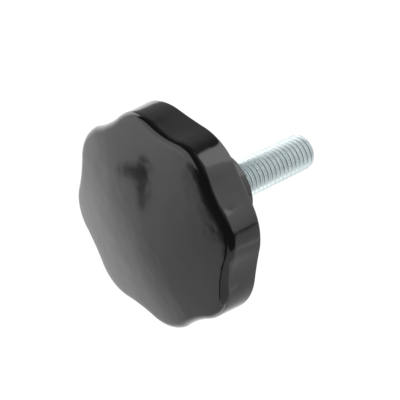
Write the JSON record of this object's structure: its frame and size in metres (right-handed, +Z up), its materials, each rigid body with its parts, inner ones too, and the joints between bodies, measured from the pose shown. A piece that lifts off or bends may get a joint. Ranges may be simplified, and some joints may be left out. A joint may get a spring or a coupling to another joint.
{
  "type": "star knob",
  "caption": "Star knob for clamping by hand: an eight-lobed black moulded head with a hub and a zinc-plated threaded steel stud, lying on its rim and the stud's tip.",
  "frame": {"origin": "middle of the bounding box's base, on the bench under the knob as it lies", "axes": "+Z up from the bench, +Y the way the stud points in plan, +X across the knob. The knob's own axis slopes down at 27.8 degrees towards the stud's tip, and the domed face looks up and to -Y"},
  "size_m": [0.0578, 0.0648, 0.055],
  "materials": {
    "moulding": "glossy black phenolic moulding",
    "zinc_steel": "bright blue-white zinc plating"
  },
  "bodies": {
    "root": {"knob_body": "moulding", "threaded_stud": "zinc_steel"}
  },
  "joints": []
}
